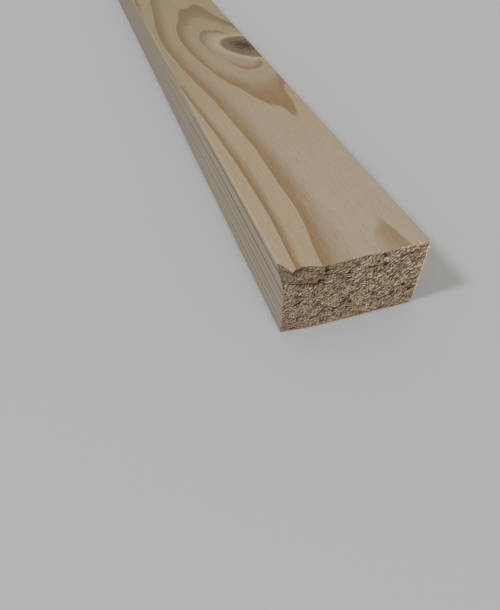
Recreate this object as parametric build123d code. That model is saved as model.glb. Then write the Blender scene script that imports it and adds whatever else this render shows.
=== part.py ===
from build123d import *
import os
from math import radians, tan

# Timber batten: one stick of planed softwood, lying flat on a wide face.
# +X runs along the stick, +Z is up, and the origin is on the floor under its middle.
# The hand-sawn end is at -X and the square factory end at +X.

# Stock, in millimetres
LENGTH = 900.0  # the length it is sold in
WIDTH = 45.0  # planed wide face
THICKNESS = 25.0  # planed narrow face
ARRIS_RADIUS = 0.8  # easing along the four long edges

# Hand-sawn end, in degrees out of square
SAW_SKEW = 0.6  # turned across the width
SAW_LEAN = 0.8  # leaning back up the thickness

# Corner broken off the sawn end, above the +Y edge
BREAK_BACK = 5.8  # along the long edge
BREAK_ACROSS = 2.6  # along the top of the end
BREAK_DOWN = 6.0  # down the end

# Top edge torn out beside the broken corner
TEAR_START = 1.5  # from the +Y edge to where the tear begins
TEAR_WIDTH = 9.5
TEAR_BACK = 1.5
TEAR_DOWN = 3.2

# Splinter lost from the opposite lower corner
NICK_BACK = 2.0
NICK_ACROSS = 0.9
NICK_UP = 4.5


def saw_line(y, z):
    """X of the hand-sawn face at a place on the section; its lower -Y corner reaches furthest."""
    skew_back = (y + WIDTH / 2) * tan(radians(SAW_SKEW))
    lean_back = z * tan(radians(SAW_LEAN))
    return Vector(-LENGTH / 2 + skew_back + lean_back, y, z)


def planed_stick():
    """The planed section with eased arrises, run out to the full length."""
    section = Pos(0, THICKNESS / 2) * RectangleRounded(WIDTH, THICKNESS, ARRIS_RADIUS)
    sawn_end = Plane.YZ.offset(-LENGTH / 2)
    return extrude(sawn_end * section, LENGTH)


def saw_end(stick):
    """The slanting cut of a handsaw across the -X end."""
    inward = (1, -tan(radians(SAW_SKEW)), -tan(radians(SAW_LEAN)))
    return split(stick, bisect_by=Plane(saw_line(0, 0), z_dir=inward), keep=Keep.TOP)


def break_corner(stick, y_side, z_side, back, across, along_end):
    """A sharp piece of the sawn end split away at one corner, on a plane through its three edges."""
    y_edge = y_side * WIDTH / 2
    z_edge = THICKNESS / 2 + z_side * THICKNESS / 2
    on_long_edge = saw_line(y_edge, z_edge) + Vector(back, 0, 0)
    on_flat = saw_line(y_edge - y_side * across, z_edge)
    on_upright = saw_line(y_edge, z_edge - z_side * along_end)
    normal = (on_flat - on_long_edge).cross(on_upright - on_long_edge)
    if normal.X < 0:
        normal = -normal
    return split(stick, bisect_by=Plane(on_long_edge, z_dir=normal), keep=Keep.TOP)


def tear_scoop():
    """A ball that bites the torn-out hollow of the given width, set-back and depth from the top edge."""
    half_width = TEAR_WIDTH / 2
    edge_radius = (half_width**2 + TEAR_BACK**2) / (2 * TEAR_BACK)
    lift = (half_width**2 - TEAR_DOWN**2) / (2 * TEAR_DOWN)
    ball_radius = (edge_radius**2 + lift**2) ** 0.5
    edge_middle = saw_line(WIDTH / 2 - TEAR_START - half_width, THICKNESS)
    centre = edge_middle + Vector(TEAR_BACK - edge_radius, 0, lift)
    return Pos(centre) * Sphere(ball_radius)


batten = saw_end(planed_stick())
batten = break_corner(batten, 1, 1, BREAK_BACK, BREAK_ACROSS, BREAK_DOWN)
batten = break_corner(batten, -1, -1, NICK_BACK, NICK_ACROSS, NICK_UP)
batten -= tear_scoop()

os.makedirs("parts", exist_ok=True)
export_step(batten, "parts/batten.step")
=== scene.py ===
# %% [markdown]
# # A planed softwood batten
# The real thing is one stick of pine or spruce: planed on four sides, cut square at one end,
# and cut by hand at the other, where the teeth tore the fibres and a corner broke away.
# The measured solid comes in first and fixes every size. The looks are then built around it.

# %% Load the measured solid
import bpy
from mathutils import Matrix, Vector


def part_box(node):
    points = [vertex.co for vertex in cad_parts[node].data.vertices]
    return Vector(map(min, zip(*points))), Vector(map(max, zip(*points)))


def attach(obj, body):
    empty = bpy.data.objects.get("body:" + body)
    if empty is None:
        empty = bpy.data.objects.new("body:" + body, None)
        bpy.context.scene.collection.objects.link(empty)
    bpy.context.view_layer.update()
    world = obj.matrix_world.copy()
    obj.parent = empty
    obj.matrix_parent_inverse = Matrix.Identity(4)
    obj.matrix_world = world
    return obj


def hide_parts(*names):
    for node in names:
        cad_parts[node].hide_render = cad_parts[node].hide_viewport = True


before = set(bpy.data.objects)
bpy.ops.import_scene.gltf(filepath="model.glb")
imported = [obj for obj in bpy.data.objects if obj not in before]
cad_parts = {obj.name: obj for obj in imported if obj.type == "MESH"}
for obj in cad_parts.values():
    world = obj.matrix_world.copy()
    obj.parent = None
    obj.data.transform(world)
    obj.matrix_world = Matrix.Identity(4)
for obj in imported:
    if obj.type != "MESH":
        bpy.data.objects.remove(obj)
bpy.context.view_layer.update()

# %% Tools and units
import math
import random
from types import SimpleNamespace

import bmesh
import bpy
from mathutils import Matrix, Vector, noise

MM = 0.001  # sizes in this lesson are millimetres, and angles are degrees
stick_low, stick_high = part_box("batten")
LENGTH, WIDTH, THICKNESS = ((high - low) / MM for low, high in zip(stick_low, stick_high))
print(f"batten: {LENGTH:.1f} x {WIDTH:.1f} x {THICKNESS:.1f} mm")

# %% [markdown]
# ## The camera
# The picture was taken from close above the sawn end, with a phone's wide lens, so the stick
# narrows fast towards the back. The camera could be aimed by eye with a Track To constraint.
# Here its place and its three turns are written down, because they were worked out from the
# edges of the stick: heading from straight down the length, tilt below level, and roll.

# %% Camera
EYE_BEFORE_END = 83.1
EYE_TO_LEFT = 59.3
EYE_HEIGHT = 114.3
HEADING_RIGHT = 17.82
TILT_DOWN = 47.77
ROLL = -1.0
LENS = 28.2

camera = bpy.data.objects.new("camera", bpy.data.cameras.new("camera"))
bpy.context.scene.collection.objects.link(camera)
camera.data.lens = LENS
camera.data.clip_start = 0.01
eye = Vector((stick_low.x - EYE_BEFORE_END * MM, EYE_TO_LEFT * MM, EYE_HEIGHT * MM))
heading = Matrix.Rotation(math.radians(-90 - HEADING_RIGHT), 4, "Z")
tilt = Matrix.Rotation(math.radians(90 - TILT_DOWN), 4, "X")
roll = Matrix.Rotation(math.radians(ROLL), 4, "Z")
camera.matrix_world = Matrix.Translation(eye) @ heading @ tilt @ roll
bpy.context.scene.camera = camera
print("camera at", [round(c, 4) for c in eye])

# %% [markdown]
# ## The stick as one skin
# A cube with a few cuts would give the outline, but the sawn end needs thousands of small faces
# for its torn fibres. So the skin starts as a fine sheet over the sawn end. The sheet's rim is
# extruded along the stick: in short steps at first, because the torn edge still moves them,
# then in two long runs. One face closes the square end.

# %% A fine sheet over the sawn end
FACE_SIZE = 0.12
sheet_place = Matrix((
    (0, 0, -1, stick_low.x),
    (-WIDTH * MM, 0, 0, 0),
    (0, THICKNESS * MM, 0, THICKNESS * MM / 2),
    (0, 0, 0, 1),
))
skin = bmesh.new()
bmesh.ops.create_grid(
    skin,
    x_segments=round(WIDTH / FACE_SIZE),
    y_segments=round(THICKNESS / FACE_SIZE),
    size=0.5,
    matrix=sheet_place,
)
sawn_faces = list(skin.faces)
print("sawn end:", len(sawn_faces), "faces")

# %% The rim, run out along the stick
SETTLED = 32.0
ROWS = [0.25, 0.6, 1.1, 1.8, 3, 5, 8, 13, 20, SETTLED, LENGTH / 2, LENGTH]


def new_parts(made, kind):
    return [part for part in made["geom"] if isinstance(part, kind)]


rim = [edge for edge in skin.edges if edge.is_boundary]
reached = 0.0
for row in ROWS:
    run = bmesh.ops.extrude_edge_only(skin, edges=rim)
    moved = new_parts(run, bmesh.types.BMVert)
    bmesh.ops.translate(skin, verts=moved, vec=((row - reached) * MM, 0, 0))
    rim = [edge for edge in new_parts(run, bmesh.types.BMEdge) if edge.is_boundary]
    reached = row
square_faces = bmesh.ops.contextual_create(skin, geom=rim)["faces"]
bmesh.ops.recalc_face_normals(skin, faces=skin.faces[:])
print("closed skin:", all(edge.is_manifold for edge in skin.edges), "with", len(ROWS), "rows")

# %% [markdown]
# ## What the saw did
# The hand-sawn end is not flat. The cut leans and turns a little, one top corner has split away
# along the grain, the edge beside it is torn, and the teeth left slanting rows of ridges and pits.
# All of that is one height over the end: how far the wood has been eaten back at each place.
# A displacement texture could do it, but a plain function can be read and measured.

# %% The slanting cut and the broken places
SAW_SKEW = 0.6
SAW_LEAN = 0.8
BREAK_BACK, BREAK_ACROSS, BREAK_DOWN = 5.8, 2.6, 6.0
NICK_BACK, NICK_ACROSS, NICK_UP = 2.0, 0.9, 4.5
TEAR_START, TEAR_WIDTH, TEAR_BACK, TEAR_DOWN = 1.5, 9.5, 1.5, 3.2
FOOT_BACK, FOOT_ACROSS, FOOT_UP = 1.1, 4.5, 3.0


def slanting_cut(right, up):
    """Set-back of the saw's plane; right and up are from the middle of the end's lower edge."""
    skew = math.tan(math.radians(SAW_SKEW)) * (WIDTH / 2 - right)
    return skew + math.tan(math.radians(SAW_LEAN)) * up


def broken_corner(from_side, from_face, back, across, along_end):
    """Set-back of a corner that split off on a plane, from the distances to its two long faces."""
    return back * max(0.0, 1 - from_side / across - from_face / along_end)


def torn_edge(right, up):
    """Set-back of the hollow torn out of the top edge."""
    along = (right + WIDTH / 2 - TEAR_START) / TEAR_WIDTH * 2 - 1
    down = (THICKNESS - up) / TEAR_DOWN
    return TEAR_BACK * max(0.0, 1 - along * along) * max(0.0, 1 - down * down)


def worn_foot(right, up):
    """Set-back of the rubbed lower corner under the broken one."""
    reach = ((right + WIDTH / 2) / FOOT_ACROSS) ** 2 + (up / FOOT_UP) ** 2
    return FOOT_BACK * math.exp(-reach / 2)


print("saw's plane, set back at the top left:", round(slanting_cut(-WIDTH / 2, THICKNESS), 2), "mm")

# %% [markdown]
# ## The torn fibres
# A handsaw tears more than it cuts. Bundles of fibre are left standing at different heights, with
# short dark slits between them, all slanting the way the teeth went. Sculpting them one by one
# would take days, so the bundles are layers of noise drawn out along the strokes: tufts, single
# bristles, and long combed lines where the saw ran fastest. Noise can't give the slits, which are
# separate things. For them the end is divided into cells, and each cell holds one slit with a
# size, place and tilt of its own. Every place also gets a shade, from about -1 for a pale fibre
# that stands out to 1 for a dark slit. It is partly the wood's own colour and partly painted light:
# a painted highlight on what stands out and painted shade in what lies deep.

# %% Noise along the strokes
STROKE_ANGLE = math.radians(37)
# Each layer's shade weight paints what stands out paler: partly the wood's colour, partly painted
# highlight.
TUFTS = SimpleNamespace(length=1.4, width=0.28, depth=0.14, shade=0.35, layer=4.2)
BRISTLES = SimpleNamespace(length=0.6, width=0.16, depth=0.13, shade=0.95, layer=3.1)
COMBED = SimpleNamespace(length=3.4, width=0.32, depth=0.22, shade=0.65, layer=9.5)
STEEPNESS = 0.6


def share(value):
    """A number kept from 0 to 1."""
    return max(0.0, min(1.0, value))


def noise_at(right, up, size, layer):
    """Even noise over the end, from about -1 to 1."""
    return noise.noise(Vector((right / size, up / size, layer)))


def stroke_place(right, up):
    """A place on the end, measured along and across the saw strokes."""
    along = right * math.cos(STROKE_ANGLE) + up * math.sin(STROKE_ANGLE)
    across = up * math.cos(STROKE_ANGLE) - right * math.sin(STROKE_ANGLE)
    return along, across


def streaks(along, across, kind):
    """Noise drawn out along the strokes and steepened, from about -1 to 1."""
    value = noise.noise(Vector((along / kind.length, across / kind.width, kind.layer)))
    return math.copysign(abs(value) ** STEEPNESS, value)


print("strokes rise at", round(math.degrees(STROKE_ANGLE)), "degrees")

# %% Slits along the strokes
WIDE_SLITS = SimpleNamespace(step=2.1, apart=1.1, length=1.08, width=0.24, layer=0.5)
NARROW_SLITS = SimpleNamespace(step=1.0, apart=0.62, length=0.55, width=0.12, layer=6.5)
SLIT_TILT = 0.3
SLIT_STEEPNESS = 1.8
SMALLEST_SLIT, SLIT_SPREAD = 0.35, 0.9


def slits(along, across, kind):
    """How deep a place lies in slits scattered one to a cell, from 0 to 1."""
    column = math.floor(along / kind.step)
    row = math.floor(across / kind.apart)
    deepest = 0.0
    for i in (column - 1, column, column + 1):
        for j in (row - 1, row, row + 1):
            chance = noise.cell_vector(Vector((i + 0.5, j + 0.5, kind.layer)))
            ahead = along - (i + chance.x) * kind.step
            aside = across - (j + chance.y) * kind.apart + SLIT_TILT * (chance.z - 0.5) * ahead
            size = SMALLEST_SLIT + SLIT_SPREAD * chance.z**2
            away = (ahead / kind.length / size) ** 2 + (aside / kind.width / size) ** 2
            deepest = max(deepest, share((1 - away) * SLIT_STEEPNESS))
    return deepest


print("about", round(WIDTH * THICKNESS / WIDE_SLITS.step / WIDE_SLITS.apart), "wide slits")

# %% The torn surface
SLIT_DEPTH, SLIT_SHADE = 0.5, 2.1
NARROW_SHARE = 0.7
PATCH_SIZE, PATCH_SHARE, PATCH_CONTRAST = 3.5, 0.7, 1.6
BEND_SIZE, BEND = 2.5, 0.3
SLOWEST = 0.4
FAST = SimpleNamespace(right=-4, across=12, up=7, rise=6)


def saw_speed(right, up):
    """How fast the saw ran, up to 1 over the upper right part of the end."""
    rightwards = share((right - FAST.right) / FAST.across)
    upwards = share((up - FAST.up) / FAST.rise)
    return SLOWEST + (1 - SLOWEST) * rightwards * upwards


def torn_fibres(right, up):
    """Depth of the torn surface about its mean, and its shade, with painted light in it."""
    along, across = stroke_place(right, up)
    across += BEND * noise_at(right, up, BEND_SIZE, layer=2.4)
    patch = share(PATCH_SHARE + PATCH_CONTRAST * noise_at(right, up, PATCH_SIZE, layer=7.9))
    wide = patch * slits(along, across, WIDE_SLITS)
    slit = max(wide, NARROW_SHARE * slits(along, across, NARROW_SLITS))
    # Slits painted dark and standing fibres pale: partly the wood's own colour, partly painted shade in
    # the slits and painted highlight on the fibres.
    depth = SLIT_DEPTH * slit
    shade = SLIT_SHADE * slit
    for kind, strength in ((TUFTS, 1), (BRISTLES, 1), (COMBED, saw_speed(right, up))):
        standing = streaks(along, across, kind) * strength
        depth -= kind.depth * standing
        shade -= kind.shade * standing
    return depth, shade


print("shade in the middle of the end:", round(torn_fibres(0, THICKNESS / 2)[1], 2))

# %% [markdown]
# ## Pits and saw marks
# Noise spreads everything evenly, and the real end isn't even: a dozen pits are where whole bundles
# came out, and two lines are left from strokes that jumped. They are few, so each is listed.

# %% Pits and saw marks, one by one
PITS = [
    SimpleNamespace(from_left=20.0, up=8.2, size=1.9),
    SimpleNamespace(from_left=13.6, up=6.9, size=1.3),
    SimpleNamespace(from_left=16.9, up=5.4, size=1.2),
    SimpleNamespace(from_left=36.1, up=6.5, size=1.4),
    SimpleNamespace(from_left=10.8, up=19.4, size=1.1),
    SimpleNamespace(from_left=4.5, up=14.7, size=1.2),
    SimpleNamespace(from_left=12.7, up=21.3, size=1.1),
    SimpleNamespace(from_left=40.7, up=13.7, size=1.2),
    SimpleNamespace(from_left=13.8, up=2.7, size=1.0),
    SimpleNamespace(from_left=23.3, up=2.1, size=1.0),
    SimpleNamespace(from_left=36.3, up=22.5, size=1.1),
    SimpleNamespace(from_left=42.1, up=6.7, size=1.5),
]
PIT_LENGTH, PIT_WIDTH, PIT_DEPTH = 0.55, 0.32, 0.6
SAW_MARKS = [
    SimpleNamespace(start=0.6, stop=19.0, height=21.5),
    SimpleNamespace(start=5.6, stop=11.2, height=17.5),
]
MARK_FALL, MARK_FADE = 0.3, 4
MARK_WIDTH, MARK_DEPTH = 0.30, 0.4


def pits(right, up):
    """How deep a place lies in the pits, from 0 to 1."""
    along, across = stroke_place(right, up)
    deepest = 0.0
    for pit in PITS:
        pit_along, pit_across = stroke_place(pit.from_left - WIDTH / 2, pit.up)
        away_along = (along - pit_along) / (PIT_LENGTH * pit.size)
        away_across = (across - pit_across) / (PIT_WIDTH * pit.size)
        deepest = max(deepest, math.exp(-(away_along**2 + away_across**2) / 2))
    return deepest


def saw_marks(from_left, up):
    """How deep a place lies in the lines left by single strokes, from 0 to 1."""
    deepest = 0.0
    for mark in SAW_MARKS:
        aside = abs(up + MARK_FALL * from_left - mark.height) / MARK_WIDTH
        ends = share(from_left - mark.start) * share((mark.stop - from_left) / MARK_FADE)
        deepest = max(deepest, share(1 - aside) * ends)
    return deepest


print(len(PITS), "pits and", len(SAW_MARKS), "saw marks placed by hand")

# %% [markdown]
# ## The whole sawn end
# Everything that happened to the end is now added up at each place. Where the saw started and
# where it came out, it tore less. The rim on the far side kept a fringe of pale fibres. The broken
# corner and the torn edge beside it are greyed, partly by dirt and partly by painted shade. The sum
# of the set-backs is the shape, and the sum of the shades goes to the finish, with painted shade
# in the hollows and along the lower rim.

# %% Edges of the sawn end
FIRST = SimpleNamespace(height=21.5, soft=0.6, stop=14, fade=4, calm=0.45)
LAST = SimpleNamespace(height=5.6, soft=0.8, stop=11, fade=3, calm=0.5)
RIM, RIM_FADE = 0.6, 3
FRINGE_PALE = 1.7
BROWN_FROM, PALE_FROM = 12, 25
TOP_BROWN, TOP_CHANGE = 0.5, 1.2
# The torn edge and broken corner go grey: dirt, and painted shadow under the overhanging edge.
UNDER_EDGE_FROM_LEFT, UNDER_EDGE_WIDTH, UNDER_EDGE_HEIGHT = 4.0, 2.4, 0.95


def first_strokes(from_left, up):
    """Where the saw started and cut cleaner, from 0 to 1."""
    above = up + MARK_FALL * from_left - FIRST.height
    return share(above / FIRST.soft) * share((FIRST.stop - from_left) / FIRST.fade)


def last_strokes(from_left, up):
    """Where the saw came out and cut cleaner, from 0 to 1."""
    below = LAST.height - up - MARK_FALL * from_left
    return share(below / LAST.soft) * share((LAST.stop - from_left) / LAST.fade)


def rim_shade(from_left, from_right, from_top):
    """Pale fringe on the right edge and half the top one, and a brown line under the rest of it."""
    fringe = share(1 - from_right / RIM)
    under = share(1 - from_top / RIM) * share((from_left - BROWN_FROM) / RIM_FADE)
    pale = TOP_CHANGE * share((from_left - PALE_FROM) / RIM_FADE) - TOP_BROWN
    return -FRINGE_PALE * fringe - pale * under


def dirt_and_shadow_under_edge(from_left, from_top):
    """Grey in the torn edge: dirt, and painted shadow under its overhang."""
    away = ((from_left - UNDER_EDGE_FROM_LEFT) / UNDER_EDGE_WIDTH) ** 2 + (from_top / UNDER_EDGE_HEIGHT) ** 2
    return math.exp(-away / 2)


print("cleaner cut above", FIRST.height, "mm and below", LAST.height, "mm, near the left side")

# %% The whole sawn end
MEAN_DEPTH = 0.35
WANDER_SIZE, WANDER_DEPTH = 13.0, 0.35
RAGGED_SIZE, RAGGED = 1.2, 0.35
CLEAN_EDGE, CLEANEST = 1.1, 0.3
# The broken facet goes grey and a little darker: dirt, and painted shade on it.
SPLIT_SOFT, SPLIT_DIRT_AND_SHADE = 0.6, 0.55
FIRST_BROWN = 0.3
# Pits and saw marks are painted darker in their hollows, the broken facet a little darker, and the lower
# rim darker by the floor: painted shade, over the wood's own brown there.
PIT_SHADE, MARK_SHADE, SPLIT_SHADE, LOWER_RIM_SHADE = 0.75, 0.7, 0.2, 0.3


def eaten_back(right, up):
    """Whole set-back of the hand-sawn end at one place, its shade, and its grey of dirt and painted
    shadow.
    """
    from_left = right + WIDTH / 2
    from_right = WIDTH / 2 - right
    from_top = THICKNESS - up
    ragged = RAGGED * noise_at(right, up, RAGGED_SIZE, layer=8.3)
    ragged *= share((from_left + from_top) / BREAK_ACROSS)
    corner = broken_corner(from_left + ragged, from_top - ragged, BREAK_BACK, BREAK_ACROSS, BREAK_DOWN)
    nick = broken_corner(from_right, up, NICK_BACK, NICK_ACROSS, NICK_UP)
    edge = torn_edge(right + 2 * ragged, up) * (1 + ragged)
    back = slanting_cut(right, up) + max(corner, edge) + nick + worn_foot(right, up)

    tearing, shade = torn_fibres(right, up)
    first = first_strokes(from_left, up)
    left_over = 1 - FIRST.calm * first - LAST.calm * last_strokes(from_left, up)
    pit = pits(right, up)
    mark = saw_marks(from_left, up)
    clean = share(CLEANEST + min(from_top, from_left, up) / CLEAN_EDGE)
    back += MEAN_DEPTH + WANDER_DEPTH * noise_at(right, up, WANDER_SIZE, layer=5.7)
    back += tearing * left_over * clean + PIT_DEPTH * pit + MARK_DEPTH * mark

    split = share(corner / SPLIT_SOFT)
    # The shade takes painted shade in pits, saw marks, on the facet and along the lower rim.
    shade = shade * left_over * clean + FIRST_BROWN * first * (1 - split)
    shade += PIT_SHADE * pit + MARK_SHADE * mark + SPLIT_SHADE * split
    shade += LOWER_RIM_SHADE * share(1 - up / RIM) + rim_shade(from_left, from_right, from_top)
    return back, shade, max(SPLIT_DIRT_AND_SHADE * split, dirt_and_shadow_under_edge(from_left, from_top))


print("set-back in the middle of the end:", round(eaten_back(0, THICKNESS / 2)[0], 2), "mm")

# %% [markdown]
# ## Moving the skin into place
# The sheet and its rows were made square. Two moves give them the real form: the arrises are
# rounded, and the rows behind the sawn end are shifted back with it and settle by 32 mm.
# The sheet also keeps two numbers at each vertex, for its finish: its shade, with painted light
# in it, and its grey, from dirt and painted shadow.

# %% Shape the skin
ARRIS_RADIUS = 0.8


def round_arris(y, z):
    """A place on the square section moved to the one with rounded arrises."""
    rise = z - THICKNESS / 2
    side = math.copysign(max(0.0, abs(y) - (WIDTH / 2 - ARRIS_RADIUS)), y)
    face = math.copysign(max(0.0, abs(rise) - (THICKNESS / 2 - ARRIS_RADIUS)), rise)
    if side == 0 or face == 0:
        return y, z
    pull = max(abs(side), abs(face)) / math.hypot(side, face)
    return y - side * (1 - pull), z - face * (1 - pull)


# Each sheet vertex keeps its shade, the wood's tone with painted highlight and shade in it, and its grey
# from dirt and painted shadow.
shade_layer = skin.verts.layers.float.new("shade")
dirt_and_painted_shade_layer = skin.verts.layers.float.new("dirt")
known = {}
for vert in skin.verts:
    along = (vert.co.x - stick_low.x) / MM
    y, z = round_arris(vert.co.y / MM, vert.co.z / MM)
    if along < SETTLED:
        place = (round(y, 3), round(z, 3))
        if place not in known:
            known[place] = eaten_back(-y, z)
        back, vert[shade_layer], vert[dirt_and_painted_shade_layer] = known[place]
        along = back + along * (1 - back / SETTLED)
    vert.co = (stick_low.x + along * MM, y * MM, z * MM)
skin.normal_update()
print("deepest place on the sawn end:", round(max(found[0] for found in known.values()), 2), "mm")

# %% Finishes of the faces
PLANED, SAWN, SQUARE = range(3)
FLAT = 0.9999
for face in skin.faces:
    face.smooth = max(abs(face.normal.y), abs(face.normal.z)) < FLAT
for face in sawn_faces:
    face.material_index = SAWN
    face.smooth = True
for face in square_faces:
    face.material_index = SQUARE
    face.smooth = False
print("smooth faces:", sum(face.smooth for face in skin.faces), "of", len(skin.faces))

# %% [markdown]
# ## A flat map of the skin
# Wherever the finish has to become one square picture, a stick this long is a problem: unwrapped
# whole, it is a thread across the picture. A smart unwrap could cut it up, but here the cut is
# simple enough to say: each long face becomes two strips, one for each half of the length, stacked
# up the picture. The ends lie above them at a larger scale, because they hold the finest detail.

# %% Flat map
MAP_SIZE = 1024
MAP_GAP = 6
STRIP_LENGTH = MAP_SIZE - 2 * MAP_GAP
STRIP_HEIGHTS = {"top": 136, "left": 76, "right": 76, "under": 66}
SAWN_HEIGHT, SQUARE_HEIGHT = 232, 150

flat_map = skin.loops.layers.uv.new("OFBake")
middle_x = (stick_low.x + stick_high.x) / 2
strip_feet = {}
foot = MAP_GAP
for name, height in STRIP_HEIGHTS.items():
    for half in (0, 1):
        strip_feet[name, half] = foot
        foot += height + MAP_GAP
ends_foot = foot


def face_side(face):
    """Which long face of the stick a face belongs to."""
    if abs(face.normal.z) > abs(face.normal.y):
        return "top" if face.normal.z > 0 else "under"
    return "left" if face.normal.y > 0 else "right"


def map_place(face, place):
    """Where a corner of a face lies on the flat map, in its pixels."""
    across = (place.y - stick_low.y) / (WIDTH * MM)
    up = (place.z - stick_low.z) / (THICKNESS * MM)
    if face.material_index == SAWN:
        return MAP_GAP + across * SAWN_HEIGHT * WIDTH / THICKNESS, ends_foot + up * SAWN_HEIGHT
    if face.material_index == SQUARE:
        width = SQUARE_HEIGHT * WIDTH / THICKNESS
        return MAP_SIZE - MAP_GAP - across * width, ends_foot + up * SQUARE_HEIGHT
    side = face_side(face)
    half = int(face.calc_center_bounds().x > middle_x)
    along = (place.x - (middle_x if half else stick_low.x)) / (LENGTH * MM / 2)
    over = across if side in ("top", "under") else up
    return MAP_GAP + along * STRIP_LENGTH, strip_feet[side, half] + over * STRIP_HEIGHTS[side]


for face in skin.faces:
    for loop in face.loops:
        loop[flat_map].uv = [spot / MAP_SIZE for spot in map_place(face, loop.vert.co)]
print("flat map filled to", ends_foot + SAWN_HEIGHT, "of", MAP_SIZE)

# %% The batten as an object
batten_mesh = bpy.data.meshes.new("softwood_batten")
skin.to_mesh(batten_mesh)
skin.free()
batten = bpy.data.objects.new("softwood_batten", batten_mesh)
bpy.context.scene.collection.objects.link(batten)
print("batten:", sum(len(p.vertices) - 2 for p in batten_mesh.polygons), "triangles")

# %% [markdown]
# ## Loose fibres
# The saw left single fibres standing out of the end, most of them along its edges. Hair particles
# would do, but they don't become a mesh by themselves. A few hundred thin cones are light enough,
# and each one is rooted in the torn surface by the same set-back that shaped it.

# %% One loose fibre
FIBRE_RADIUS, FIBRE_TIP = 0.06, 0.012
FIBRE_ROOT = 0.2
FIBRE_SIDES = 5
fuzz = bmesh.new()


def loose_fibre(right, up, lean_right, lean_up, length):
    """One thin cone, rooted in the sawn end and leaning out of it."""
    back = eaten_back(right, up)[0] + FIBRE_ROOT
    root = Vector((stick_low.x + back * MM, -right * MM, up * MM))
    aim = Vector((-1, -lean_right, lean_up)).normalized()
    middle = Matrix.Translation(root + aim * length / 2 * MM)
    bmesh.ops.create_cone(
        fuzz,
        cap_ends=True,
        segments=FIBRE_SIDES,
        radius1=FIBRE_RADIUS * MM,
        radius2=FIBRE_TIP * MM,
        depth=length * MM,
        matrix=middle @ aim.to_track_quat("Z", "Y").to_matrix().to_4x4(),
    )


print("one fibre is", 2 * FIBRE_RADIUS, "mm thick at its root")

# %% Fibres along the edges, in tufts and over the end
TOP_FIBRES, SIDE_FIBRES, FACE_FIBRES = 60, 60, 160
TUFT_PLACES, TUFT_FIBRES = (-3.2, 3.8, 5.2), 9
pick = random.Random(11).uniform
for _ in range(TOP_FIBRES):
    right = pick(-9, WIDTH / 2 - 0.4)
    loose_fibre(right, THICKNESS - pick(0.1, 0.5), pick(-0.8, 0.8), pick(0.1, 1.2), pick(0.5, 1.1))
for place in TUFT_PLACES:
    for _ in range(TUFT_FIBRES):
        right = place + pick(-1, 1)
        loose_fibre(right, THICKNESS - pick(0.1, 0.4), pick(-1, 1), pick(0.6, 1.8), pick(0.9, 1.7))
for _ in range(SIDE_FIBRES):
    up = pick(4, THICKNESS - 0.5)
    loose_fibre(WIDTH / 2 - pick(0.05, 0.4), up, pick(0.2, 1.2), pick(-0.4, 0.6), pick(0.5, 1.0))
for _ in range(FACE_FIBRES):
    right = pick(-WIDTH / 2 + 1, WIDTH / 2 - 1)
    loose_fibre(right, pick(0.8, THICKNESS - 2.5), pick(0.2, 1.2), pick(0.2, 1.0), pick(0.4, 0.9))
fuzz_mesh = bpy.data.meshes.new("loose_fibres")
fuzz.to_mesh(fuzz_mesh)
fuzz.free()
loose_fibres = bpy.data.objects.new("loose_fibres", fuzz_mesh)
bpy.context.scene.collection.objects.link(loose_fibres)
print("loose fibres:", sum(len(p.vertices) - 2 for p in fuzz_mesh.polygons), "triangles")

# %% [markdown]
# ## Shader maths
# The wood's pattern is worked out by nodes. Written as nodes it takes many lines, so one small
# class wraps a node's output: a sum or product of such wires adds the Math nodes by itself.


# %% The wire class
class Wire:
    """One output of a material's node. Arithmetic on it adds Math nodes."""

    def __init__(self, tree, socket):
        self.tree = tree
        self.socket = socket

    @classmethod
    def node(cls, tree, kind, settings=None, inputs=None, output=0):
        """Any node: its settings first, then a number, colour or wire for each input."""
        made = tree.nodes.new("ShaderNode" + kind)
        for name, value in (settings or {}).items():
            if name == "stops":
                for spot, _ in value[2:]:
                    made.color_ramp.elements.new(spot)
                for element, (spot, colour) in zip(made.color_ramp.elements, value):
                    element.position = spot
                    element.color = colour
            elif name == "between":
                made.color_ramp.interpolation = value
            else:
                setattr(made, name, value)
        cls.feed(made, inputs or {})
        return cls(tree, made.outputs[output])

    @staticmethod
    def feed(node, values):
        """Gives each named input of a node its number, colour or wire."""
        for name, value in values.items():
            if isinstance(value, Wire):
                value.tree.links.new(value.socket, node.inputs[name])
            else:
                node.inputs[name].default_value = value

    def out(self, name):
        """Another output of the same node."""
        return Wire(self.tree, self.socket.node.outputs[name])

    def math(self, operation, *values):
        """A Math node on wires and numbers."""
        return Wire.node(self.tree, "Math", {"operation": operation}, dict(enumerate(values)))

    def __add__(self, other):
        return self.math("ADD", self, other)

    def __radd__(self, other):
        return self.math("ADD", other, self)

    def __sub__(self, other):
        return self.math("SUBTRACT", self, other)

    def __rsub__(self, other):
        return self.math("SUBTRACT", other, self)

    def __mul__(self, other):
        return self.math("MULTIPLY", self, other)

    def __rmul__(self, other):
        return self.math("MULTIPLY", other, self)

    def __truediv__(self, other):
        return self.math("DIVIDE", self, other)

    def __rtruediv__(self, other):
        return self.math("DIVIDE", other, self)

    def __pow__(self, other):
        return self.math("POWER", self, other)

    def rise(self, low, high):
        """0 below low, 1 above high, and a soft rise between."""
        values = {"Value": self, "From Min": low, "From Max": high}
        return Wire.node(self.tree, "MapRange", {"interpolation_type": "SMOOTHSTEP"}, values)


print("wires take sums, differences, products, quotients and powers")


# %% Patterns and colours made of wires
def bell(square):
    """1 where a squared distance is 0, falling away as a bell curve does."""
    return square.math("EXPONENT", square * -0.5)


def speckle(tree, x, y, z, detail=2):
    """Noise about 0, from about -0.5 to 0.5, at a place given in its own cell sizes."""
    place = Wire.node(tree, "CombineXYZ", {}, {"X": x, "Y": y, "Z": z})
    return Wire.node(tree, "TexNoise", {}, {"Vector": place, "Scale": 1.0, "Detail": detail}) - 0.5


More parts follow.
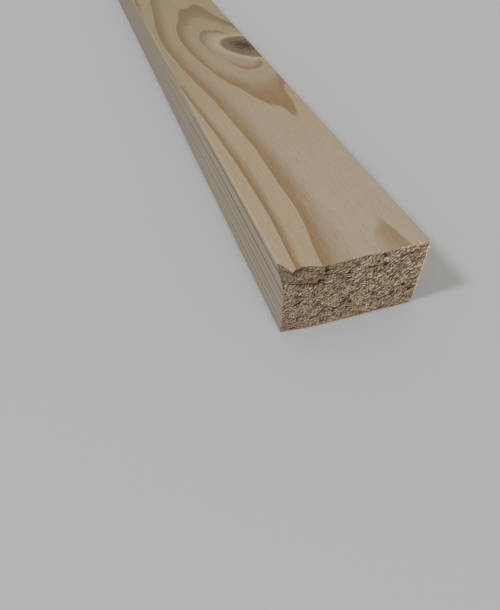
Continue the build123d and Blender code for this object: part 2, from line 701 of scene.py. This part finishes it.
def blend(tree, amount, first, second):
    """A colour between two colours."""
    return Wire.node(tree, "Mix", {"data_type": "RGBA"}, {0: amount, 6: first, 7: second}, 2)


def relief(height, strength, depth):
    """Bump over a height that is finer than the mesh."""
    values = {"Height": height, "Strength": strength, "Distance": depth * MM}
    return Wire.node(height.tree, "Bump", {}, values)


def tone(red, green, blue):
    """A colour as a screen shows it, from 0 to 255, turned into the linear one that nodes use."""
    return (*(((c / 255 + 0.055) / 1.055) ** 2.4 for c in (red, green, blue)), 1.0)


print("middle grey on a screen is", round(tone(128, 128, 128)[0], 3), "to a node")

# %% [markdown]
# ## Growth rings
# A tree's rings are tubes round its heart, and this stick was sawn well outside the heart: the
# heart ran about 62 mm above the top face. Every face then cuts the same tubes, so the wide
# flames on top, the fine lines down the side and the arcs on the ends all come from one distance.
# Round the branch the tubes are drawn in, which closes a ring into the eye about the knot.

# %% Where the heart and the rings ran
HEART_STEP = 60
HEART_RUN = 900
HEART_ACROSS = [35, 36.5, 31, 27.1, 29.8, 37, 38, 35, 31, 29, 30, 33, 36, 36, 34, 32]
HEART_ABOVE = [
    61.93, 62.33, 61.66, 61.75, 62.02, 62.95, 64, 65.2,
    66.4, 66.6, 65.8, 64.6, 64, 65, 66.5, 67.5,
]
PITH_SIDE = 50.0
RINGS = [
    SimpleNamespace(edge=53.1, dark=0.60, early=0.40, line=0.0),
    SimpleNamespace(edge=56.2, dark=0.60, early=0.40, line=0.0),
    SimpleNamespace(edge=59.2, dark=0.95, early=0.81, line=0.0),
    SimpleNamespace(edge=62.0, dark=1.00, early=0.32, line=0.0),
    SimpleNamespace(edge=65.8, dark=0.95, early=0.30, line=0.0),
    SimpleNamespace(edge=69.4, dark=1.00, early=0.52, line=0.1),
    SimpleNamespace(edge=73.9, dark=0.75, early=0.72, line=0.9),
    SimpleNamespace(edge=78.3, dark=0.90, early=0.68, line=1.0),
    SimpleNamespace(edge=80.9, dark=0.70, early=0.70, line=0.7),
    SimpleNamespace(edge=84.2, dark=0.85, early=0.72, line=0.9),
    SimpleNamespace(edge=86.4, dark=0.70, early=0.66, line=0.7),
    SimpleNamespace(edge=89.5, dark=0.85, early=0.72, line=0.9),
    SimpleNamespace(edge=92.0, dark=0.75, early=0.70, line=0.8),
    SimpleNamespace(edge=94.6, dark=0.80, early=0.70, line=0.8),
    SimpleNamespace(edge=97.6, dark=0.70, early=0.70, line=0.7),
    SimpleNamespace(edge=100.8, dark=0.80, early=0.70, line=0.8),
]
print(len(RINGS), "rings, over", RINGS[-1].edge - PITH_SIDE, "mm of growth")

# %% [markdown]
# ## The branch
# A knot is a branch that the trunk grew round, so the rings swerve about it and are drawn in where
# it leaves the trunk. Here that is a bell-shaped dip of the rings about the branch, with a few
# smaller dimples for the jagged tips of the flames, each where the photograph shows one.

# %% Where the branch grew
KNOT_ALONG, KNOT_ACROSS = 158.5, 43.5
KNOT_LENGTH, KNOT_WIDTH = 15.0, 14.0
KNOT_SLANT = 0.45
BRANCH_LEAN = 0.15
DIP, DIP_REACH, DIP_STRETCH, DIP_INWARD = 4.5, 22.0, 1.2, 1.5
DIMPLES = [
    SimpleNamespace(along=131, across=39.5, length=9, width=9, dip=0.65),
    SimpleNamespace(along=91, across=40.5, length=9, width=3.5, dip=0.30),
    SimpleNamespace(along=89, across=31.5, length=7, width=3.5, dip=-0.25),
    SimpleNamespace(along=0, across=33, length=7, width=3.6, dip=0.58),
    SimpleNamespace(along=0, across=12.5, length=10, width=4, dip=0.80),
]
DIMPLE_DEPTH = 15.0
GAP = SimpleNamespace(along=151, across=24.5, length=11, width=4.5)


def drawn_in(g):
    """How far the rings are drawn towards the heart, by the branch and by smaller dimples."""
    along = g.branch_along / DIP_STRETCH / DIP_REACH
    across = (g.branch_across + DIP_INWARD) / DIP_REACH
    drawn = DIP * bell(along**2 + across**2)
    below = (g.depth / DIMPLE_DEPTH) ** 2
    for spot in DIMPLES:
        away = ((g.along - spot.along) / spot.length) ** 2 + ((g.across - spot.across) / spot.width) ** 2
        drawn = drawn + spot.dip * bell(away + below)
    return drawn


print("knot", KNOT_ALONG, "mm from the sawn end, and", len(DIMPLES), "dimples")

# %% [markdown]
# ## One tree for every face
# Each finish asks the same questions of a place: how far along the stick it is, how deep, how near
# the branch and how far from the heart. They are answered once, as a set of wires, so a ring that
# leaves the top face comes out of the end at the same height.

# %% The wires that every cut through the tree shares
KNOT_TAPER = 62  # a branch widens with its distance from the heart
RAMP_UNIT = 100  # a ramp holds colours up to 1, so it keeps hundreds of millimetres
LOBES = SimpleNamespace(length=30, width=5, amount=0.5)
TEETH = SimpleNamespace(length=13, width=2.2, amount=0.2)


def growth(tree):
    """Where a place is in the stick, by the branch and from the heart, as a set of wires."""
    g = SimpleNamespace(tree=tree)
    spot = Wire.node(tree, "TexCoord", {}, {}, "Object")
    spot = Wire.node(tree, "SeparateXYZ", {}, {"Vector": spot})
    g.along = (spot.out("X") - stick_low.x) / MM
    g.across = (stick_high.y - spot.out("Y")) / MM
    g.depth = (stick_high.z - spot.out("Z")) / MM

    g.branch_across = g.across - KNOT_ACROSS - g.depth * BRANCH_LEAN
    g.branch_along = g.along - KNOT_ALONG + g.branch_across * KNOT_SLANT
    knot_square = (g.branch_along / KNOT_LENGTH) ** 2 + (g.branch_across / KNOT_WIDTH) ** 2
    g.knot = knot_square**0.5 / (1 + g.depth / KNOT_TAPER)
    g.flow = g.branch_across * (1 - 1 / g.knot.math("MAXIMUM", g.knot * g.knot, 1.0))

    heart_stops = [
        (i * HEART_STEP / HEART_RUN, (across / RAMP_UNIT, above / RAMP_UNIT, 0, 1))
        for i, (across, above) in enumerate(zip(HEART_ACROSS, HEART_ABOVE))
    ]
    heart = {"stops": heart_stops, "between": "B_SPLINE"}
    heart = Wire.node(tree, "ValToRGB", heart, {"Fac": g.along / HEART_RUN})
    heart = Wire.node(tree, "SeparateColor", {}, {"Color": heart})
    aside = g.across - heart.out("Red") * RAMP_UNIT
    above = heart.out("Green") * RAMP_UNIT + g.depth
    radius = (aside * aside + above * above) ** 0.5
    lobes = speckle(tree, g.along / LOBES.length, g.flow / LOBES.width, g.depth / LOBES.width, detail=0)
    teeth = speckle(tree, g.along / TEETH.length, g.flow / TEETH.width, g.depth / TEETH.width, detail=1)
    g.radius = radius - drawn_in(g) + lobes * LOBES.amount + teeth * TEETH.amount
    return g


print("heart given at", len(HEART_ACROSS), "places along the stick")

# %% Late wood
YEAR_END, LATE_FULL, LINE_START = 0.965, 0.95, 0.78
NEAR_FLAME = SimpleNamespace(
    back=(45, 60), right=(22, 25), strength=0.72, full=(27.5, 36), fade=(10, 18)
)
GAP_PALE = 0.95
HAIRS = SimpleNamespace(length=9, per_mm=2.6, amount=0.3)


def latewood(g):
    """Adds how dark the late part of each ring is, and the thin line where it ends."""
    span = RINGS[-1].edge - PITH_SIDE
    count = len(RINGS)
    edges = [(0, (0, 0, 0, 1))]
    for i, ring in enumerate(RINGS, 1):
        edges.append(((ring.edge - PITH_SIDE) / span, (i / count, i / count, i / count, 1)))
    outward = {"Fac": (g.radius - PITH_SIDE) / span}
    age = Wire.node(g.tree, "ValToRGB", {"stops": edges, "between": "LINEAR"}, outward) * count
    habits = [(i / count, (ring.dark, ring.early, ring.line, 1)) for i, ring in enumerate(RINGS)]
    habits = {"stops": habits, "between": "CONSTANT"}
    habit = Wire.node(g.tree, "ValToRGB", habits, {"Fac": (age.math("FLOOR", age) + 0.5) / count})
    habit = Wire.node(g.tree, "SeparateColor", {}, {"Color": habit})
    year = age.math("FRACT", age)
    end = 1 - year.rise(YEAR_END, 1.0)
    near_flame = (1 - g.along.rise(*NEAR_FLAME.back)) * g.across.rise(*NEAR_FLAME.right)
    kept = NEAR_FLAME.strength * g.across.rise(*NEAR_FLAME.full) * (1 - g.along.rise(*NEAR_FLAME.fade))
    pale_flame = 1 - near_flame * (1 - kept)
    gap = bell(((g.along - GAP.along) / GAP.length) ** 2 + ((g.across - GAP.across) / GAP.width) ** 2)
    hairs = speckle(g.tree, g.along / HAIRS.length, g.flow * HAIRS.per_mm, g.depth * HAIRS.per_mm)
    late = (year + hairs * HAIRS.amount).rise(habit.out("Green"), LATE_FULL)
    g.late = late * end * habit.out("Red") * pale_flame * (1 - GAP_PALE * gap)
    g.line = year.rise(LINE_START, LATE_FULL) * end * habit.out("Blue")


print("a year's late wood is full at", LATE_FULL, "of the ring and ends at", YEAR_END)

# %% [markdown]
# ## Planed faces
# Planed pine is pale early wood with browner late wood in every ring, a thin dark line where the
# year ended, and fine fibres that catch the light. It goes greyer on the narrow faces, and it is
# painted darker towards the far end: painted shade, for light falling off along the stick. Each of
# these is one colour laid over the last by its own share, because that can be tuned one at a time.
# The knot is painted last, over everything.

# %% Colours of the planed wood
EARLYWOOD_NEAR = tone(163, 151, 136)
# Early wood far down the stick is darker: painted shade, for light falling off along it.
EARLYWOOD_FAR_SHADED = tone(153, 137, 113)
EARLYWOOD_WARM = tone(163, 146, 121)
NARROW_GREY = tone(173, 158, 141)
LATEWOOD = tone(138, 111, 78)
LATE_LINE = tone(102, 85, 68)
KNOT_HEART = tone(44, 28, 18)
KNOT_BODY = tone(124, 103, 82)
KNOT_PALE = tone(174, 159, 136)


def finish_nodes(name):
    """A new material, its nodes and its surface."""
    material = bpy.data.materials.new(name)
    material.use_nodes = True
    return material, material.node_tree, material.node_tree.nodes["Principled BSDF"]


print("early wood by the sawn end:", [round(c, 3) for c in EARLYWOOD_NEAR[:3]])


# %% Fibres of a planed face
STREAK = SimpleNamespace(length=35, per_mm=1.4, amount=0.6)
HAIR = SimpleNamespace(length=5, per_mm=2.8)
WOOL = SimpleNamespace(per_mm=1.7, amount=0.9)


def fibres(g):
    """Fine fibre pattern of a planed face, about 0: long streaks, short hairs and a woolly grain."""
    streak = speckle(
        g.tree, g.along / STREAK.length, g.flow * STREAK.per_mm, g.depth * STREAK.per_mm, detail=3
    )
    hair = speckle(g.tree, g.along / HAIR.length, g.flow * HAIR.per_mm, g.depth * HAIR.per_mm)
    wool = speckle(g.tree, g.along, g.across * WOOL.per_mm, g.depth * WOOL.per_mm)
    return streak * STREAK.amount + hair + wool * WOOL.amount


print("streaks", STREAK.length, "mm long and hairs", HAIR.length, "mm long")

# %% The knot's colours
COLLAR = SimpleNamespace(edge=(1.0, 1.5), amount=0.75)
FLECK = SimpleNamespace(along=1.2, across=2.2, down=7, dark=2.4, edge=0.2)
CRACKED = SimpleNamespace(along=1.5, across=-3, length=5.5, width=4.5, dark=0.9)
PALER_BELOW = SimpleNamespace(down=(0, 14), amount=0.6)
WAVER = SimpleNamespace(length=12, down=9, starts=(1, 10), amount=0.5)
HEART_DARK = (-0.1, 1.15)
CORE_EDGE, CORE_AMOUNT = (0.88, 1.06), 0.97


def knot_colour(g, base):
    """Paints the branch over the wood: a pale collar, then brown with a dark cracked heart."""
    base = blend(g.tree, (1 - g.knot.rise(*COLLAR.edge)) * COLLAR.amount, base, KNOT_PALE)
    over = g.branch_across / FLECK.across
    fleck = speckle(g.tree, g.branch_along / FLECK.along, over, g.depth / FLECK.down, detail=4)
    off_along = (g.branch_along - CRACKED.along) / CRACKED.length
    off_across = (g.branch_across - CRACKED.across) / CRACKED.width
    heart = CRACKED.dark * bell(off_along**2 + off_across**2)
    heart = heart * (1 - PALER_BELOW.amount * g.depth.rise(*PALER_BELOW.down)) + fleck * FLECK.dark
    inside = blend(g.tree, heart.rise(*HEART_DARK), KNOT_BODY, KNOT_HEART)
    aside = g.across / WAVER.length
    waver = speckle(g.tree, g.along / WAVER.length, aside, g.depth / WAVER.down, detail=0)
    waver = waver * g.depth.rise(*WAVER.starts)
    core = 1 - (g.knot + fleck * FLECK.edge + waver * WAVER.amount).rise(*CORE_EDGE)
    return blend(g.tree, core * CORE_AMOUNT, base, inside)


print("knot's heart is", 2 * CRACKED.length, "by", 2 * CRACKED.width, "mm")

# %% Early and late wood of a planed face
# Over this first span the early wood darkens towards the far end: painted shade.
EARLY_SHADE_SPAN = (0, 200)
BLOTCH = SimpleNamespace(length=60, width=14, edge=(0.4, 0.65), amount=0.5)
WARM_STRIP = SimpleNamespace(across=(10, 17), along=(70, 140), amount=0.6)
NARROW = SimpleNamespace(edge=(WIDTH / 2 - 0.6, WIDTH / 2 - 0.05), amount=0.75)
FADED = SimpleNamespace(along=(40, 190), amount=0.7)
# These two paint the late wood and the whole face darker towards the far end: painted shade.
LATE_FAR_SHADE = SimpleNamespace(along=(90, 200), amount=0.3)
FAR_SHADE = SimpleNamespace(along=(60, 210), wide=0.1, narrow=0.08)


def planed_colour(g):
    """Colour of a planed face: early wood, the late wood of every ring over it, then painted shade
    towards the far end.
    """
    tree = g.tree
    base = blend(tree, g.along.rise(*EARLY_SHADE_SPAN), EARLYWOOD_NEAR, EARLYWOOD_FAR_SHADED)
    blotch = speckle(tree, g.along / BLOTCH.length, g.across / BLOTCH.width, g.depth / BLOTCH.width)
    base = blend(tree, (blotch + 0.5).rise(*BLOTCH.edge) * BLOTCH.amount, base, EARLYWOOD_WARM)
    strip = (1 - g.across.rise(*WARM_STRIP.across)) * (1 - g.along.rise(*WARM_STRIP.along))
    base = blend(tree, strip * WARM_STRIP.amount, base, EARLYWOOD_WARM)
    from_middle = g.across - WIDTH / 2
    narrow = from_middle.math("ABSOLUTE", from_middle).rise(*NARROW.edge)
    base = blend(tree, narrow * NARROW.amount, base, NARROW_GREY)

    strength = 1 - FADED.amount * narrow * g.along.rise(*FADED.along)
    late_tone = blend(tree, g.along.rise(*LATE_FAR_SHADE.along) * LATE_FAR_SHADE.amount, LATEWOOD, LATE_LINE)
    base = blend(tree, g.late * strength, base, late_tone)
    base = blend(tree, g.line * strength, base, LATE_LINE)
    painted_far_shade = g.along.rise(*FAR_SHADE.along) * (FAR_SHADE.wide + FAR_SHADE.narrow * narrow)
    return blend(tree, painted_far_shade, base, LATE_LINE)


print("narrow faces are greyer by", NARROW.amount, "and fade by", FADED.amount)

# %% Planed softwood
FINE_EDGE, FINE_AMOUNT = (0.0, 0.6), 0.7
FINE_BUMP, FINE_DEPTH = 0.7, 0.08
PLANED_ROUGH, LATE_SHINE, FINE_ROUGH = 0.66, 0.14, 0.1


def planed_softwood():
    """The four long faces."""
    material, tree, surface = finish_nodes("planed_softwood")
    g = growth(tree)
    latewood(g)
    base = planed_colour(g)
    fine = fibres(g)
    base = blend(tree, fine.rise(*FINE_EDGE) * FINE_AMOUNT, base, LATEWOOD)
    base = blend(tree, (0 - fine).rise(*FINE_EDGE) * FINE_AMOUNT, base, KNOT_PALE)
    Wire.feed(surface, {
        "Base Color": knot_colour(g, base),
        "Normal": relief(fine, FINE_BUMP, FINE_DEPTH),
        "Roughness": PLANED_ROUGH - LATE_SHINE * g.late + FINE_ROUGH * fine,
        "Specular IOR Level": 0.3,
    })
    return material


planed_finish = planed_softwood()
print("planed softwood:", len(planed_finish.node_tree.nodes), "nodes")

# %% [markdown]
# ## The sawn end
# Torn end grain hides its rings: what shows is pale where a fibre stands up, brown between, and
# dark brown in the slits, partly the wood's own colour and partly painted highlight and painted
# shade. The shade kept at each vertex says which, and grit finer than the mesh is added to it
# here. The broken corner and the edge beside it are greyed, partly by dirt and partly by painted
# shadow.

# %% Sawn end grain
TORN_PALE = tone(240, 222, 198)
TORN_BROWN = tone(157, 136, 112)
TORN_DARK = tone(70, 47, 28)
# Grey of dirt and of painted shadow, for the broken corner and under the torn edge.
DIRT_AND_SHADOW_GREY = tone(74, 69, 60)
GRIT = SimpleNamespace(along=2.2, across=5.2, back=2, shade=1.8, dirt=0.4, bump=0.6, depth=0.1)
PALE_TO_BROWN, BROWN_TO_DARK = (-1.0, 0.2), (0.1, 1.0)
DIRT_AND_SHADOW_EDGE, DIRT_AND_SHADOW_AMOUNT = (0.05, 0.95), 0.85
RINGS_SHOW = 0.15


def sawn_end_grain():
    """The end cut by hand."""
    material, tree, surface = finish_nodes("sawn_end_grain")
    g = growth(tree)
    latewood(g)
    shade = Wire.node(tree, "Attribute", {"attribute_name": "shade"}, {}, "Fac")
    dirt = Wire.node(tree, "Attribute", {"attribute_name": "dirt"}, {}, "Fac")
    along_stroke = g.across * math.cos(STROKE_ANGLE) - g.depth * math.sin(STROKE_ANGLE)
    across_stroke = g.across * math.sin(STROKE_ANGLE) + g.depth * math.cos(STROKE_ANGLE)
    grit = speckle(tree, along_stroke * GRIT.along, across_stroke * GRIT.across, g.along * GRIT.back)
    shade = shade + grit * GRIT.shade + g.late * RINGS_SHOW
    # Pale, brown and dark by the shade: the wood's own colour with painted highlight and painted shade
    # in it.
    base = blend(tree, shade.rise(*PALE_TO_BROWN), TORN_PALE, TORN_BROWN)
    base = blend(tree, shade.rise(*BROWN_TO_DARK), base, TORN_DARK)
    # The grey laid over last is dirt and painted shadow at the broken corner and torn edge.
    Wire.feed(surface, {
        "Base Color": blend(tree, (dirt + grit * GRIT.dirt).rise(*DIRT_AND_SHADOW_EDGE) * DIRT_AND_SHADOW_AMOUNT, base, DIRT_AND_SHADOW_GREY),
        "Normal": relief(grit, GRIT.bump, GRIT.depth),
        "Roughness": 0.85,
        "Specular IOR Level": 0.08,
    })
    return material


sawn_finish = sawn_end_grain()
print("sawn end grain:", len(sawn_finish.node_tree.nodes), "nodes")

# %% [markdown]
# ## The square end
# The other end is past the picture's edge. It is finished as a sawmill leaves it: cut clean enough
# for the rings to show as arcs, with the pores of the early wood and faint marks of the blade.

# %% Square end grain
END_PALE = tone(172, 150, 120)
END_LATE = tone(128, 100, 70)
END_LATE_AMOUNT = 0.8
PORES = SimpleNamespace(per_mm=4, edge=(0.0, 0.4), amount=0.5, height=0.5)
BLADE = SimpleNamespace(slant=0.35, width=0.5, length=22, edge=(0.0, 0.4), amount=0.25)
END_BUMP, END_DEPTH = 0.5, 0.1


def square_end_grain():
    """The end cut by a machine."""
    material, tree, surface = finish_nodes("square_end_grain")
    g = growth(tree)
    latewood(g)
    base = blend(tree, g.late * END_LATE_AMOUNT, END_PALE, END_LATE)
    pores = speckle(tree, g.along, g.across * PORES.per_mm, g.depth * PORES.per_mm)
    base = blend(tree, pores.rise(*PORES.edge) * PORES.amount, base, END_LATE)
    over_blade = (g.across + g.depth * BLADE.slant) / BLADE.width
    strokes = speckle(tree, g.along, over_blade, g.depth / BLADE.length)
    Wire.feed(surface, {
        "Base Color": blend(tree, strokes.rise(*BLADE.edge) * BLADE.amount, base, END_PALE),
        "Normal": relief(strokes + pores * PORES.height, END_BUMP, END_DEPTH),
        "Roughness": 0.75,
        "Specular IOR Level": 0.2,
    })
    return material


square_finish = square_end_grain()
print("square end grain:", len(square_finish.node_tree.nodes), "nodes")

# %% [markdown]
# ## Finish of the loose fibres
# A single fibre is pale where it was pulled out clean, and browner elsewhere. An uneven mix of the
# sawn end's own two colours is enough, because each fibre is thinner than a pixel of the picture.

# %% Loose fibres, and all finishes in their places
UNEVEN_PER_MM, UNEVEN_EDGE = 1.5, (-0.25, 0.2)


def torn_fibre():
    """Single fibres, pale or brown."""
    material, tree, surface = finish_nodes("torn_fibre")
    g = growth(tree)
    uneven = speckle(tree, g.along * UNEVEN_PER_MM, g.across * UNEVEN_PER_MM, g.depth * UNEVEN_PER_MM)
    Wire.feed(surface, {
        "Base Color": blend(tree, uneven.rise(*UNEVEN_EDGE), TORN_PALE, TORN_BROWN),
        "Roughness": 0.8,
        "Specular IOR Level": 0.1,
    })
    return material


for finish in (planed_finish, sawn_finish, square_finish):
    batten_mesh.materials.append(finish)
fuzz_mesh.materials.append(torn_fibre())
print("finishes:", [material.name for material in bpy.data.materials])

# %% [markdown]
# ## One part with the solid
# The dressed batten takes the place of the measured one, and both pieces move with it.

# %% Ride on the solid
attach(batten, "root")
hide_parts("batten")
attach(loose_fibres, "root")
print("both pieces ride on the batten")

# %% [markdown]
# ## Floor and light
# The stick lies on a plain pale floor in daylight: the cool key comes from the left and just
# grazes the sawn end, which brings out its fibres, and its shadow falls to the right. A warm fill
# from above and a warm sky stand for the room. Area lamps would do as well, but suns light
# the whole length evenly.

# %% Floor
FLOOR_REACH = 8.0  # metres
floor_mesh = bpy.data.meshes.new("floor")
sheet = bmesh.new()
bmesh.ops.create_grid(sheet, x_segments=1, y_segments=1, size=FLOOR_REACH)
sheet.to_mesh(floor_mesh)
sheet.free()
floor = bpy.data.objects.new("floor", floor_mesh)
bpy.context.scene.collection.objects.link(floor)
floor_paint, _, floor_surface = finish_nodes("pale_floor")
Wire.feed(floor_surface, {"Base Color": tone(174, 176, 178), "Roughness": 0.7})
floor_mesh.materials.append(floor_paint)
print("floor:", floor.dimensions[:2], "m")

# %% Light
KEY = SimpleNamespace(come_from=(-0.5, 23.0, 25.0), strength=1.2, angle=9, tint=(0.86, 1.0, 1.14))
FILL = SimpleNamespace(come_from=(-0.42, 0.08, 0.9), strength=1.15, angle=25, tint=(1.05, 1.0, 0.93))
SKY_STRENGTH = 0.42
SKY_TINT = (1.06, 0.99, 0.89, 1)


def sun(name, light):
    """A sun lamp from a direction."""
    lamp = bpy.data.objects.new(name, bpy.data.lights.new(name, "SUN"))
    lamp.data.energy = light.strength
    lamp.data.color = light.tint
    lamp.data.angle = math.radians(light.angle)
    lamp.rotation_mode = "QUATERNION"
    lamp.rotation_quaternion = Vector(light.come_from).to_track_quat("Z", "Y")
    bpy.context.scene.collection.objects.link(lamp)


sun("key", KEY)
sun("fill", FILL)
sky = bpy.data.worlds.new("sky")
sky.use_nodes = True
Wire.feed(sky.node_tree.nodes["Background"], {"Color": SKY_TINT, "Strength": SKY_STRENGTH})
bpy.context.scene.world = sky
bpy.context.scene.view_settings.view_transform = "Standard"
print("light from a key, a fill and the sky")
